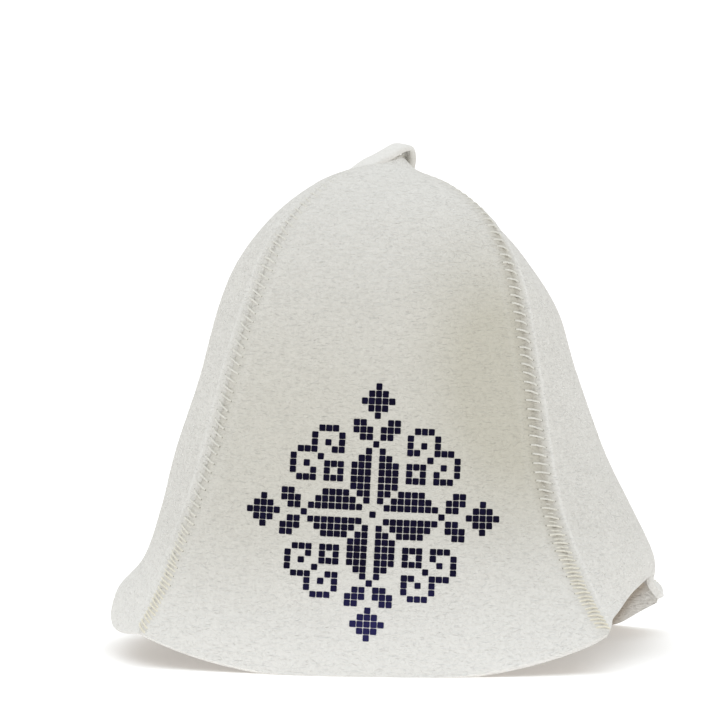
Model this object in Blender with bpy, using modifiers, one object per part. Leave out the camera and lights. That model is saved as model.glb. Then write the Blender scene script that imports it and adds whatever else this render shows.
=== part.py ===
"""A felt sauna hat: four gores that meet at butted seams, and a hanging loop at the crown.

The hat stands on its hem on the plane z = 0. The front gore faces -Y and +Z is up. Each gore's outer
skin is lofted from one short table of sections and given the felt's thickness inward, and that wall is
cut by the gore's two seam planes, which lean a little because the felt is twisted.
"""

import math
from collections import namedtuple

import bmesh
import bpy
import numpy as np
from mathutils import Matrix, Vector

MM = 0.001

# Driving dimensions, in millimetres.
FELT = 3.0
SEAM_GAP = 0.3
CROWN_HEIGHT = 213.0
CROWN_X = 5.5
TIP_HOLE = 1.2
TIP_HOLE_DEPTH = 40.0
TIP_HOLE_SIDES = 12
BLOCK = 600.0
# Where the tables' own axis stands, seen from above, so that the hat's box is centred on the origin.
AXIS_X = -5.9
AXIS_Y = 1.2

COLUMNS_PER_GORE = 14
ROWS = 22
HEIGHT_SAMPLES = 600

# One row for each section from below the hem to the crown's tip, all in millimetres:
# height, x of the section's centre, seams' distance from that centre, and how far each gore
# bows out from the straight line between its two seams.
Section = namedtuple("Section", "height centre seam front right back left")
SECTIONS = [
    Section(-6, 0, 145, 17, 12, 16, 27),
    Section(12, 0, 133.5, 17, 14, 16, 29),
    Section(26, 0, 123.5, 17, 20, 16, 32),
    Section(40, 0, 115.5, 18, 24.5, 17, 25),
    Section(62, 0, 104.5, 20, 25.5, 19, 25),
    Section(90, 0, 95, 21, 21, 20, 24.5),
    Section(120, 0, 87.5, 20, 17.5, 19, 20.5),
    Section(148, 0, 78.5, 19, 17, 17, 18.5),
    Section(170, 0, 69.5, 14, 10.5, 12, 15.5),
    Section(187, 0, 57, 10, 3.5, 8, 11),
    Section(200, -1.5, 38.5, 5, 0.5, 4, 7),
    Section(207, -2.5, 21, 2, 0, 2, 5),
    Section(CROWN_HEIGHT, CROWN_X, 0, 0, 0, 0, 0),
]

# One row for each seam, which lies in a plane through the crown's tip: the plane's heading from the
# front, anticlockwise seen from above, its lean for each millimetre down, its hem's height, and how
# far it kicks out at the hem.
Seam = namedtuple("Seam", "heading lean hem kick")
SEAMS = {
    "front_left": Seam(-40, 0.125, 14, -5),
    "front_right": Seam(50.5, 0.135, 15.5, 10),
    "back_right": Seam(147, 0.33, 14, 26),
    "back_left": Seam(230, 0.14, 12, 0),
}
KICK_REACH = 70.0

# One row for each gore: the seams at its two sides, the height of its hem at the middle, and how
# squarely the hem turns between corner and middle, 2 being a plain arc.
Gore = namedtuple("Gore", "first last hem turn")
GORES = {
    "front": Gore("front_left", "front_right", -1.2, 2.1),
    "right": Gore("front_right", "back_right", 32.5, 1.8),
    "back": Gore("back_right", "back_left", -1.2, 6),
    "left": Gore("back_left", "front_left", 11.2, 2),
}

# The hanging loop is a felt strip that lies along the crown's left slope, arches over the tip and drops
# steeply on the right. It has one row for each turn of its middle line: along the arch from the
# loop's own centre, height, and how steeply the strip rises from its front edge to its back one.
LOOP_X = 6.0
LOOP_TURN = 25.0
LOOP_WIDTH = 11.0
LOOP_THICK = 3.0
LOOP_EDGE = 0.8
LOOP_SHARP = 60.0
LOOP_STEPS = 26
LOOP_COLUMNS = 4
LOOP_SEAT = 0.3
Bend = namedtuple("Bend", "along height rise")
LOOP = [
    Bend(-20, 205.6, 0.25),
    Bend(-13.3, 210.2, 0.3),
    Bend(-7.4, 213.2, 0.3),
    Bend(-2.2, 216.1, 0.3),
    Bend(2.4, 218.4, 0.25),
    Bend(5.8, 217.4, 0.08),
    Bend(7, 213.6, 0),
    Bend(6.4, 209.6, 0),
    Bend(5.6, 204, 0),
]

FELT_COLOUR = (0.68, 0.66, 0.60, 1)
LOOP_COLOUR = (0.74, 0.72, 0.66, 1)
FELT_ROUGHNESS = 0.95


def spline(values, place):
    """Smooth value at a place counted in rows, by a Catmull-Rom spline through the rows."""
    last = len(values) - 1
    row = min(int(place), last - 1)
    part = place - row
    before, low, high, after = (values[min(max(row + step, 0), last)] for step in (-1, 0, 1, 2))
    rise = (high - before) / 2
    fall = (after - low) / 2
    square, cube = part * part, part * part * part
    return (
        (2 * cube - 3 * square + 1) * low
        + (cube - 2 * square + part) * rise
        + (3 * square - 2 * cube) * high
        + (cube - square) * fall
    )


def section_at(place):
    """The section's sizes at a place counted in rows of the table."""
    return Section(*(spline(column, place) for column in zip(*SECTIONS)))


def place_of_height(height):
    """The place in the table, in rows, where the skin has this height."""
    places = np.linspace(0, len(SECTIONS) - 1, HEIGHT_SAMPLES)
    heights = [section_at(place).height for place in places]
    return float(np.interp(height, heights, places))


def seam_point(seam, section):
    """Where a seam crosses a section: on its leaning plane, at the seam's distance from the centre."""
    heading = math.radians(seam.heading)
    along = np.array([math.sin(heading), -math.cos(heading)])
    aside = np.array([along[1], -along[0]])
    fade = max(0.0, 1 - max(0.0, section.height) / KICK_REACH)
    radius = section.seam + seam.kick * fade * fade
    drop = CROWN_HEIGHT - section.height
    start = np.array([CROWN_X - section.centre, 0.0]) + aside * seam.lean * drop
    reach = start @ along
    run = -reach + math.sqrt(max(0.0, reach * reach - start @ start + radius * radius))
    return np.array([section.centre, 0.0]) + start + along * run


def skin_point(name, across, place):
    """A point of the outer skin: across a gore from 0 to 1, at a place counted in rows."""
    gore = GORES[name]
    section = section_at(place)
    first = seam_point(SEAMS[gore.first], section)
    last = seam_point(SEAMS[gore.last], section)
    chord = last - first
    outward = np.array([chord[1], -chord[0]])
    size = np.linalg.norm(outward)
    bow = getattr(section, name) * 4 * across * (1 - across)
    spot = first + chord * across
    if size > 0:
        spot = spot + outward / size * bow
    return Vector((spot[0] * MM, spot[1] * MM, section.height * MM))


def hem_height(name, across):
    """The hem's height across a gore, rounded from corner to corner."""
    gore = GORES[name]
    start, end = SEAMS[gore.first].hem, SEAMS[gore.last].hem
    sag = gore.hem - (start + end) / 2
    return start + (end - start) * across + sag * (1 - abs(2 * across - 1) ** gore.turn)


def loft(name, sides, closed):
    """An open surface through upright columns, one for each gore and place across it, up to the tip."""
    top = len(SECTIONS) - 1
    bm = bmesh.new()
    columns = []
    for gore, across in sides:
        start = place_of_height(hem_height(gore, across))
        places = [start + (top - start) * row / ROWS for row in range(ROWS)]
        columns.append([bm.verts.new(skin_point(gore, across, place)) for place in places])
    tip = bm.verts.new(Vector((CROWN_X, 0, CROWN_HEIGHT)) * MM)
    following = columns[1:] + columns[:1] if closed else columns[1:]
    for column, after in zip(columns, following):
        for row in range(ROWS - 1):
            bm.faces.new((column[row], after[row], after[row + 1], column[row + 1]))
        bm.faces.new((column[-1], after[-1], tip))
    mesh = bpy.data.meshes.new(name)
    bm.to_mesh(mesh)
    bm.free()
    return mesh


def skin_mesh():
    """The whole bell's outer skin, open at the hem."""
    steps = range(COLUMNS_PER_GORE)
    return loft("skin", [(name, step / COLUMNS_PER_GORE) for name in GORES for step in steps], True)


def gore_mesh(name):
    """One gore's outer skin, which runs one column past its seam at each side."""
    steps = range(-1, COLUMNS_PER_GORE + 2)
    return loft(name + "_gore", [(name, step / COLUMNS_PER_GORE) for step in steps], False)


def link(name, mesh, axis, collection):
    """A new object in its collection, placed by the hat's own axis."""
    obj = bpy.data.objects.new(name, mesh)
    obj.parent = axis
    collection.objects.link(obj)
    return obj


def cutter(name, mesh, axis, collection):
    """A cutting solid, which isn't one of the hat's pieces."""
    obj = link(name, mesh, axis, collection)
    obj.hide_render = True
    obj.display_type = "WIRE"
    return obj


def felt_material(name, colour):
    """Plain felt for one piece."""
    material = bpy.data.materials.new(name)
    material.use_nodes = True
    shader = material.node_tree.nodes["Principled BSDF"]
    shader.inputs["Base Color"].default_value = colour
    shader.inputs["Roughness"].default_value = FELT_ROUGHNESS
    shader.inputs["Metallic"].default_value = 0
    return material


def seam_plane(seam):
    """A point of a seam's plane and its normal, which points anticlockwise seen from above."""
    heading = math.radians(seam.heading)
    point = Vector((CROWN_X, 0, CROWN_HEIGHT)) * MM
    return point, Vector((math.cos(heading), math.sin(heading), -seam.lean)).normalized()


def wedge_mesh(name):
    """The space over the table between a gore's two seam planes, half a seam gap inside each."""
    gore = GORES[name]
    bm = bmesh.new()
    bmesh.ops.create_cube(bm, size=BLOCK * MM, matrix=Matrix.Translation((0, 0, BLOCK / 2 * MM)))
    for seam, way in ((gore.first, 1), (gore.last, -1)):
        point, normal = seam_plane(SEAMS[seam])
        inward = normal * way
        cut = bmesh.ops.bisect_plane(
            bm,
            geom=bm.verts[:] + bm.edges[:] + bm.faces[:],
            plane_co=point + inward * (SEAM_GAP / 2 * MM),
            plane_no=inward,
            clear_inner=True,
        )
        rim = [item for item in cut["geom_cut"] if isinstance(item, bmesh.types.BMEdge)]
        bmesh.ops.contextual_create(bm, geom=rim)
    bmesh.ops.recalc_face_normals(bm, faces=bm.faces[:])
    mesh = bpy.data.meshes.new(name + "_wedge")
    bm.to_mesh(mesh)
    bm.free()
    return mesh


def tip_hole_mesh():
    """A pin-sized round hole down through the tip, where the four gores' points meet."""
    bm = bmesh.new()
    bmesh.ops.create_cone(
        bm,
        cap_ends=True,
        segments=TIP_HOLE_SIDES,
        radius1=TIP_HOLE * MM,
        radius2=TIP_HOLE * MM,
        depth=TIP_HOLE_DEPTH * MM,
        matrix=Matrix.Translation((CROWN_X * MM, 0, CROWN_HEIGHT * MM)),
    )
    mesh = bpy.data.meshes.new("tip_hole")
    bm.to_mesh(mesh)
    bm.free()
    return mesh


def add_boolean(obj, operation, other):
    """Cut an object by another, exactly."""
    modifier = obj.modifiers.new(other.name, "BOOLEAN")
    modifier.operation = operation
    modifier.solver = "EXACT"
    modifier.object = other


def add_wall(obj, thickness, offset):
    """Give an open surface its thickness: offset -1 is inward, 0 both ways."""
    wall = obj.modifiers.new("wall", "SOLIDIFY")
    wall.thickness = thickness * MM
    wall.offset = offset
    wall.use_even_offset = True


def make_gore(name, hole, axis, pieces, cutters):
    """One gore: a felt wall on its skin, cut to the space between its two seams."""
    gore = link(name + "_gore", gore_mesh(name), axis, pieces)
    gore.data.materials.append(felt_material(name + "_felt", FELT_COLOUR))
    add_wall(gore, FELT, -1)
    add_boolean(gore, "INTERSECT", cutter(name + "_wedge", wedge_mesh(name), axis, cutters))
    add_boolean(gore, "DIFFERENCE", hole)


def crown_form_mesh():
    """The bell as a solid block, swollen by the loop's seating gap, for trimming the loop's feet."""
    bm = bmesh.new()
    bm.from_mesh(skin_mesh())
    bm.normal_update()
    for vert in bm.verts:
        vert.co += vert.normal * (LOOP_SEAT * MM)
    rim = [edge for edge in bm.edges if edge.is_boundary]
    bmesh.ops.contextual_create(bm, geom=rim)
    mesh = bpy.data.meshes.new("crown_form")
    bm.to_mesh(mesh)
    bm.free()
    return mesh


def loop_mesh():
    """The loop's strip as an open surface: its middle line swept across its width."""
    turn = Matrix.Rotation(math.radians(LOOP_TURN), 4, "Z")
    sides = [LOOP_WIDTH * (column / LOOP_COLUMNS - 0.5) for column in range(LOOP_COLUMNS + 1)]
    last = len(LOOP) - 1
    bm = bmesh.new()
    rows = []
    for step in range(LOOP_STEPS + 1):
        along, height, rise = (spline(column, last * step / LOOP_STEPS) for column in zip(*LOOP))
        spots = [turn @ Vector((along, side, rise * side)) + Vector((LOOP_X, 0, height)) for side in sides]
        rows.append([bm.verts.new(spot * MM) for spot in spots])
    for row, following in zip(rows, rows[1:]):
        for side in range(LOOP_COLUMNS):
            bm.faces.new((row[side], following[side], following[side + 1], row[side + 1]))
    mesh = bpy.data.meshes.new("hanging_loop")
    bm.to_mesh(mesh)
    bm.free()
    return mesh


def make_loop(axis, pieces, cutters):
    """The hanging loop: a felt strip with softened edges, its feet seated on the crown."""
    loop = link("hanging_loop", loop_mesh(), axis, pieces)
    loop.data.materials.append(felt_material("loop_felt", LOOP_COLOUR))
    add_wall(loop, LOOP_THICK, 0)
    soften = loop.modifiers.new("soften", "BEVEL")
    soften.width = LOOP_EDGE * MM
    soften.segments = 2
    soften.limit_method = "ANGLE"
    soften.angle_limit = math.radians(LOOP_SHARP)
    add_boolean(loop, "DIFFERENCE", cutter("crown_form", crown_form_mesh(), axis, cutters))


def main():
    for obj in list(bpy.data.objects):
        bpy.data.objects.remove(obj)
    pieces = bpy.data.collections.new("sauna_hat")
    cutters = bpy.data.collections.new("cutters")
    for collection in (pieces, cutters):
        bpy.context.scene.collection.children.link(collection)
    axis = link("hat_axis", None, None, pieces)
    axis.location = (AXIS_X * MM, AXIS_Y * MM, 0)
    hole = cutter("tip_hole", tip_hole_mesh(), axis, cutters)
    for name in GORES:
        make_gore(name, hole, axis, pieces, cutters)
    make_loop(axis, pieces, cutters)


if __name__ == "__main__":
    main()
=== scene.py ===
"""The looks of a felt sauna hat: four cream gores, flat zigzag seams, a printed rosette and a hanging loop.

Every piece is made by its own operator from the sizes in the settings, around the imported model. The hat
stands on its hem, the rosette faces -Y, and +Z is up.
"""

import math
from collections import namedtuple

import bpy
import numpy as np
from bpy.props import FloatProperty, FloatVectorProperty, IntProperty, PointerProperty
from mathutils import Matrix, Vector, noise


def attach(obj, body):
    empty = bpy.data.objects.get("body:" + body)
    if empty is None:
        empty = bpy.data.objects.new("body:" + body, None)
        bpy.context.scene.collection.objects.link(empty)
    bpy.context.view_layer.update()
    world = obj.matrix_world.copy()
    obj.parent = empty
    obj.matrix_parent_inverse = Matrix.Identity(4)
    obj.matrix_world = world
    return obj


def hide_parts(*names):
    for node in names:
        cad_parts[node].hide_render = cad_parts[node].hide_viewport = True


bl_info = {
    "name": "Felt Sauna Hat",
    "version": (1, 0, 0),
    "blender": (4, 5, 0),
    "location": "View3D > Sidebar > Sauna Hat",
    "description": "Makes a felt sauna hat with stitched seams, a printed rosette and a hanging loop",
    "category": "Object",
}

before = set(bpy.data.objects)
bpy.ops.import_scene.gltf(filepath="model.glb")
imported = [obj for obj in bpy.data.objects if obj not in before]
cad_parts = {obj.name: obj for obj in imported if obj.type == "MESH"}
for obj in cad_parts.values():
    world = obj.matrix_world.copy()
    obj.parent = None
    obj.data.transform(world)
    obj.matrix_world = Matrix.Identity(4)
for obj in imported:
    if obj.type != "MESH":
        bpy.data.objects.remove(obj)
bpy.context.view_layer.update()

BODY = "root"
MM = 0.001

# The bell's form, in millimetres, as the solids have it, but with its seams drawn together by the thread.
FELT = 3.0
SEAM_GAP = 0.12
CROWN_HEIGHT = 213.0
CROWN_X = 5.5
AXIS_X = -5.9
AXIS_Y = 1.2
KICK_REACH = 70.0
# The crown's tip is puckered up under the loop: how high, how far, and the pucker's middle.
PUCKER = 4.2
PUCKER_REACH = 6.5
PUCKER_X = 8.0
# The lobe at the back right seam's foot is rounded out to the right: how far, its middle and its reaches.
LOBE = 10.5
LOBE_SPOT = (131.0, 72.0)
LOBE_HEIGHT = 22.0
LOBE_REACH = 30.0
LOBE_RISE = 6.5
# The felt's inner side is painted with shade that deepens with its depth over the hem, between two depths.
# Light comes in under the hat from this far right, and each millimetre to the left of there counts as this
# much depth.
LOBE_EDGE = 124.0
STEP_LEFT = 0.8
DARK_DEPTHS = (9.5, 19)

# One row for each section from below the hem to the crown's tip: height, x of the section's centre,
# seams' distance from that centre, and how far each gore bows out between its two seams.
Section = namedtuple("Section", "height centre seam front right back left")
SECTIONS = [
    Section(-6, 0, 145, 17, 12, 16, 27),
    Section(12, 0, 133.5, 17, 16, 16, 29),
    Section(26, 0, 123.5, 17, 17, 16, 32),
    Section(40, 0, 115.5, 18, 24.5, 17, 25),
    Section(62, 0, 104.5, 20, 25.5, 19, 25),
    Section(90, 0, 95, 21, 21, 20, 24.5),
    Section(120, 0, 87.5, 20, 17.5, 19, 20.5),
    Section(148, 0, 78.5, 19, 17, 17, 18.5),
    Section(170, 0, 69.5, 14, 10.5, 12, 15.5),
    Section(187, 0, 57, 10, 3.5, 8, 11),
    Section(200, -1.5, 38.5, 5, 0.5, 4, 7),
    Section(207, -2.5, 21, 2, 0, 2, 5),
    Section(CROWN_HEIGHT, CROWN_X, 0, 0, 0, 0, 0),
]

# One row for each seam: the heading of its plane, the plane's lean, the hem's height at the seam, how
# far it kicks out at the hem, how proud the felt swells on its two sides, how much lower the right end
# of a stitch is than its left end, and how much the felt under the stitches is darkened, partly as pressed
# wool and partly as painted shade in the seam's valley.
Seam = namedtuple("Seam", "heading lean hem kick swell_before swell_after slope shade")
SEAMS = {
    "front_left": Seam(-40, 0.125, 14, -5, 0.5, 0.1, 3.4, 0.1),
    "front_right": Seam(50.5, 0.135, 15.5, 10, 0.1, 0.85, 1.2, 0.85),
    "back_right": Seam(147, 0.33, 14, 19, 0.4, 0.3, 2.6, 0.25),
    "back_left": Seam(230, 0.14, 12, 0, 0.4, 0.3, 2.6, 0.25),
}

# One row for each gore: its two seams, its hem's height at the middle, and how squarely the hem turns
# between its first seam and the middle, and between the middle and its last seam.
Gore = namedtuple("Gore", "first last hem turn end_turn")
GORES = {
    "front": Gore("front_left", "front_right", -1.2, 2.1, 2.1),
    "right": Gore("front_right", "back_right", 32.5, 1.8, 1.8),
    "back": Gore("back_right", "back_left", -1.2, 3.6, 6),
    "left": Gore("back_left", "front_left", 17, 2, 2),
}

# What each gore was cut to before it was sewn, in metres: its width at the hem and its length up the middle,
# and its area in square metres, because it narrows to a point.
Cut = namedtuple("Cut", "width length area")

# Where a hem hangs lower in a wave, or is lifted where the depth is negative: gore, place across it, how far
# it reaches across, and its depth.
Wave = namedtuple("Wave", "gore across reach depth")
WAVES = [
    Wave("left", 0.86, 0.13, 5.5),
    Wave("right", 0.84, 0.11, 6.5),
    Wave("right", 0.06, 0.05, -2),
    Wave("back", 0.12, 0.06, 4),
]

# Faint creases pressed into the felt, or raised where the depth is negative: gore, place across it, height,
# length, width, depth and tilt in degrees.
Crease = namedtuple("Crease", "gore across height length width depth tilt")
CREASES = [
    Crease("front", 0.27, 24, 56, 5.0, 0.5, 5),
    Crease("front", 0.14, 154, 20, 3.0, 0.7, -6),
    Crease("front", 0.70, 160, 60, 16, -0.7, -62),
    Crease("front", 0.82, 120, 70, 12, 0.8, 84),
    Crease("right", 0.30, 70, 80, 14, 0.8, 76),
    Crease("right", 0.62, 120, 60, 12, 0.6, 80),
    Crease("left", 0.55, 60, 70, 12, 0.6, 98),
    Crease("back", 0.40, 90, 90, 16, 0.9, 84),
    Crease("back", 0.70, 40, 50, 10, 0.6, 20),
]

# Painted shade: patches where the felt is darkened and warmed to stand in for the shade on the front gore,
# most of all beside its right seam: gore, place across it, height, width, rise and strength. The power makes
# a patch even in its middle and soft at its edge.
SHADE_PATCH_POWER = 2.5
ShadePatch = namedtuple("ShadePatch", "gore across height width rise strength")
SHADE_PATCHES = [
    ShadePatch("front", 0.5, 97, 150, 56, 0.34),
    ShadePatch("front", 0.93, 116, 32, 54, 1.0),
    ShadePatch("front", 0.2, 84, 46, 50, 0.2),
]

# The hanging loop: how far right of the bell's axis it stands, how many degrees its arch is turned, and the
# width, thickness and length of its strip. The powers make the strip's section a rounded rectangle.
LOOP_X = 6.0
LOOP_TURN = 25.0
LOOP_WIDTH = 11.0
LOOP_THICK = 3.0
LOOP_STEPS = 90
LOOP_SIDES = 28
WIDE_POWER = 0.35
DEEP_POWER = 0.6
# Its middle line: along the arch from the loop's own centre, height, and how steeply the strip rises from
# its front edge to its back one.
Bend = namedtuple("Bend", "along height rise")
LOOP = [
    Bend(-20, 205.6, 0.25),
    Bend(-13.3, 210.2, 0.3),
    Bend(-7.4, 213.2, 0.3),
    Bend(-2.2, 216.1, 0.3),
    Bend(2.4, 218.6, 0.25),
    Bend(6, 218.2, 0.12),
    Bend(7, 213.6, 0),
    Bend(6.4, 209.6, 0),
    Bend(5.6, 204, 0),
]

# How finely the felt is made. The columns lie closer together beside the seams, and the rows stop a little
# short of the crown's tip. The hem is rounded out by its bulge, and edges past the last angle stay sharp.
ROWS = 230
EDGE_COLUMNS = 14
EDGE_STEP = 0.0045
MIDDLE_COLUMNS = 80
RIM_STEPS = 4
TIP_STOP = 0.06
HEM_BULGE = 0.5
SHARP_ANGLE = 55.0

# How far from a seam its traces reach on the felt, and how deep some are: where the wall's edge turns flat
# to its neighbour's, where the two are drawn together, the valley between the stitches and at each of them,
# the dents at the needle holes, the hollows between the threads, the raised ridge and the painted highlight
# on its top, and the darkened wool, partly pressed and partly painted shade in the seam's valley.
TURN_REACH = 5.0
CLOSE_REACH = 3.0
VALLEY_FLOOR = 0.55
VALLEY_BEAT = 0.7
HOLE_DENT = 0.3
HOLE_REACH = 0.8
HOLLOW_DENT = 0.1
HOLLOW_GAP = 2.4
HOLLOW_REACH = 1.4
RIDGE_REACH = 2.3
RIDGE_HIGHLIGHT_REACH = 1.3
SHADE_REACH = 4.4

# A seam's ridge sets in between the first two heights. Its other traces have this strength at the hem and
# grow to their full one between the next two, and all of them fade from the last height up to the crown.
RIDGE_SETS_IN = (4, 30)
HEM_STRENGTH = 0.3
SEAM_SETS_IN = (20, 70)
CROWN_FADE = 168.0

# What changes along a seam between two heights, from a first value to a last one: how deep the second thread
# of each pair sinks into the wool, how thick the threads are, and how deep all lie buried near the crown.
Change = namedtuple("Change", "start end first last")
THREADS_SINK = Change(30, 80, 0.00002, 0.0011)
THREADS_THIN = Change(15, 80, 1.3, 0.88)
THREADS_BURIED = Change(CROWN_FADE, 208, 0.0, 0.0005)

# A seam's line has this many steps, and its stitches start this many up. A stitch is turned by up to this
# angle and stretched between these two sizes, and its needle holes lie this deep.
SEAM_ROWS = 300
SEAM_START = 7
STITCH_SWAY = 0.1
STITCH_SIZES = ((0.92, 0.9, 1), (1.06, 1.08, 1))
HOLE_DEPTH = 0.00012

# How wide the wool's small lumps and slow swells are. The noise seldom comes near 1, so it is raised.
LUMP_SIZE = 2.6
SWELL_SIZE = 38
NOISE_GAIN = 1.6

# How much of its drawing in makes the felt thinner, how much of its lumps makes it thicker, and how much of
# the outer skin's unevenness the inner skin follows.
THINNED = 0.6
UNEVEN = 0.1
INNER_FOLLOWS = 0.6

# The rosette's cells have corners rounded by this share of their width, are turned by up to this angle and
# stretched between these two sizes. They are made in front of the hat, at this Y, and laid back onto it
# within this reach.
CELL_CORNER = 0.16
CELL_SWAY = 0.03
CELL_SIZES = ((0.96, 0.96, 1), (1.02, 1.02, 1))
CELLS_START = -0.3
CELLS_REACH = 0.4

# The rosette, charted in cells from its centre. It is the same in all eight directions, so the
# chart holds one eighth of it: for each row up, the first and the last cell to the right.
Run = namedtuple("Run", "up first last")
ROSETTE = [
    Run(0, 0, 0),
    Run(2, 1, 1),
    Run(3, 1, 2),
    Run(4, 1, 3),
    Run(5, 1, 3),
    Run(6, 1, 3),
    Run(7, 1, 3),
    Run(8, 1, 2),
    Run(9, 1, 1),
    Run(10, 0, 0),
    Run(11, 1, 2),
    Run(12, 1, 3),
    Run(13, 2, 3),
    Run(14, 0, 0),
    Run(15, 0, 1),
    Run(16, 0, 2),
    Run(17, 0, 1),
    Run(18, 0, 0),
    Run(5, 5, 5),
    Run(6, 5, 5),
    Run(7, 5, 7),
    Run(8, 8, 8),
    Run(9, 9, 9),
    Run(9, 5, 6),
    Run(10, 5, 5),
    Run(11, 5, 5),
    Run(12, 6, 8),
    Run(10, 7, 7),
    Run(10, 9, 9),
    Run(11, 9, 9),
]

# The camera stands where the photograph's did: a metre in front of the bell's axis and just above level,
# with the axis, at this height, on this pixel of a square frame.
FRAME_SIDE = 720
AXIS_PIXEL = (381, 419)
AXIS_POINT_HEIGHT = 0.0989
VIEW_DISTANCE = 1.0
VIEW_DOWN = 0.5
MM_PER_PIXEL = 0.44
SENSOR = 36.0


class FeltSettings(bpy.types.PropertyGroup):
    """The felt's colours and its uneven surface."""

    colour: FloatVectorProperty(
        name="Felt colour", description="Main colour of the wool", subtype="COLOR", size=3,
        default=(0.783, 0.768, 0.731), min=0, max=1,
    )
    shade: FloatVectorProperty(
        name="Mottled colour", description="Colour of the darker flecks", subtype="COLOR", size=3,
        default=(0.683, 0.667, 0.628), min=0, max=1,
    )
    # Also the colour of the painted light towards the hem and crown, on the seams' ridges and over the loop.
    pale: FloatVectorProperty(
        name="Pale colour", description="Colour of the pale loose fibres", subtype="COLOR", size=3,
        default=(0.90, 0.889, 0.862), min=0, max=1,
    )
    # Partly pressed wool, partly painted shade: the darker colour along the seams, and painted shade on the
    # loop's inner side.
    seam_shade: FloatVectorProperty(
        name="Seam colour", description="Colour of the pressed and shaded felt under the stitches", subtype="COLOR",
        size=3, default=(0.54, 0.512, 0.445), min=0, max=1,
    )
    # Painted shade: the colour that the front gore's shade patches are painted with.
    painted_shade: FloatVectorProperty(
        name="Painted shade colour", description="Colour of the shade painted on the wool", subtype="COLOR", size=3,
        default=(0.60, 0.575, 0.495), min=0, max=1,
    )
    # Painted shade: the colour that darkens the felt's inner side inside the hat.
    inside: FloatVectorProperty(
        name="Inner shade colour", description="Colour of the shade painted on the felt's inner side", subtype="COLOR", size=3,
        default=(0.42, 0.35, 0.275), min=0, max=1,
    )
    lumps: FloatProperty(
        name="Lumps", description="Height of the wool's small lumps", default=0.00007, unit="LENGTH",
    )
    swells: FloatProperty(
        name="Swells", description="Height of the wide, slow unevenness", default=0.0006, unit="LENGTH",
    )


class SeamSettings(bpy.types.PropertyGroup):
    """The flat zigzag seams."""

    pitch: FloatProperty(
        name="Pitch", description="From one stitch to the next", default=0.00375, unit="LENGTH",
    )
    width: FloatProperty(
        name="Width", description="From needle hole to needle hole across the seam", default=0.0079,
        unit="LENGTH",
    )
    thread: FloatProperty(
        name="Thread", description="Thickness of the thread", default=0.00085, unit="LENGTH",
    )
    valley: FloatProperty(
        name="Valley", description="How deep the butted edges are drawn in", default=0.0006, unit="LENGTH",
    )
    valley_reach: FloatProperty(
        name="Valley reach", description="How far from the seam the felt is drawn in", default=0.0012,
        unit="LENGTH",
    )
    ridge: FloatProperty(
        name="Ridge", description="From the seam to the ridge that its pull raises", default=0.0076,
        unit="LENGTH",
    )
    hole: FloatProperty(
        name="Needle hole", description="Width of a needle hole", default=0.00065, unit="LENGTH",
    )
    colour: FloatVectorProperty(
        name="Thread colour", description="Colour of the thread", subtype="COLOR", size=3,
        default=(0.81, 0.795, 0.735), min=0, max=1,
    )
    hem_colour: FloatVectorProperty(
        name="Thread colour at the hem", description="Colour of the creamier thread near the hem",
        subtype="COLOR", size=3, default=(0.90, 0.86, 0.73), min=0, max=1,
    )
    seed: IntProperty(name="Seed", description="Changes the stitches' small unevenness", default=4)


class RosetteSettings(bpy.types.PropertyGroup):
    """The printed rosette."""

    pitch: FloatProperty(
        name="Pitch", description="From one cell to the next across", default=0.00275, unit="LENGTH",
    )
    rise: FloatProperty(
        name="Rise", description="From one cell to the next upwards", default=0.002735, unit="LENGTH",
    )
    growth: FloatProperty(
        name="Growth", description="How much taller each row of cells is than the one under it",
        default=0.0042,
    )
    cell: FloatProperty(
        name="Cell", description="Width of one printed cell", default=0.00252, unit="LENGTH",
    )
    across: FloatProperty(
        name="Across", description="Middle of the rosette to the right of the bell's axis",
        default=-0.0034, unit="LENGTH",
    )
    height: FloatProperty(
        name="Height", description="Middle of the rosette above the hem", default=0.0616, unit="LENGTH",
    )
    tilt: FloatProperty(
        name="Tilt", description="How far the rows are turned clockwise", default=math.radians(2.4),
        unit="ROTATION",
    )
    lean: FloatProperty(
        name="Lean", description="How far the columns lean to the right", default=math.radians(3.1),
        unit="ROTATION",
    )
    proud: FloatProperty(
        name="Proud", description="How far the ink stands over the felt", default=0.00012, unit="LENGTH",
    )
    colour: FloatVectorProperty(
        name="Ink colour", description="Colour of the ink", subtype="COLOR", size=3,
        default=(0.0024, 0.0014, 0.0150), min=0, max=1,
    )
    # Partly the ink's own patchiness, partly painted light towards the hem.
    patchy_and_lit_ink: FloatVectorProperty(
        name="Patchy and lit ink colour", description="Colour of the ink's thin patches and of its painted light near the hem", subtype="COLOR",
        size=3, default=(0.024, 0.022, 0.10), min=0, max=1,
    )
    seed: IntProperty(name="Seed", description="Changes the print's small unevenness", default=7)


class StageSettings(bpy.types.PropertyGroup):
    """The floor and the light."""

    floor: FloatProperty(name="Floor", description="Width of the floor", default=60.0, unit="LENGTH")
    above: FloatProperty(
        name="Overhead light", description="Strength of the soft light from above", default=1.28,
    )
    side: FloatProperty(
        name="Side light", description="Strength of the soft light from the left", default=0.07,
    )
    fill: FloatProperty(
        name="Fill light", description="Strength of the light from all round", default=0.66,
    )
    table: FloatProperty(
        name="Table light", description="Strength of the light that the lit table gives", default=0.33,
    )


class HatSettings(bpy.types.PropertyGroup):
    """All the hat's settings."""

    felt: PointerProperty(type=FeltSettings)
    seam: PointerProperty(type=SeamSettings)
    rosette: PointerProperty(type=RosetteSettings)
    stage: PointerProperty(type=StageSettings)


SECTION_TABLE = np.array(SECTIONS, float)
TOP = len(SECTIONS) - 1


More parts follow.
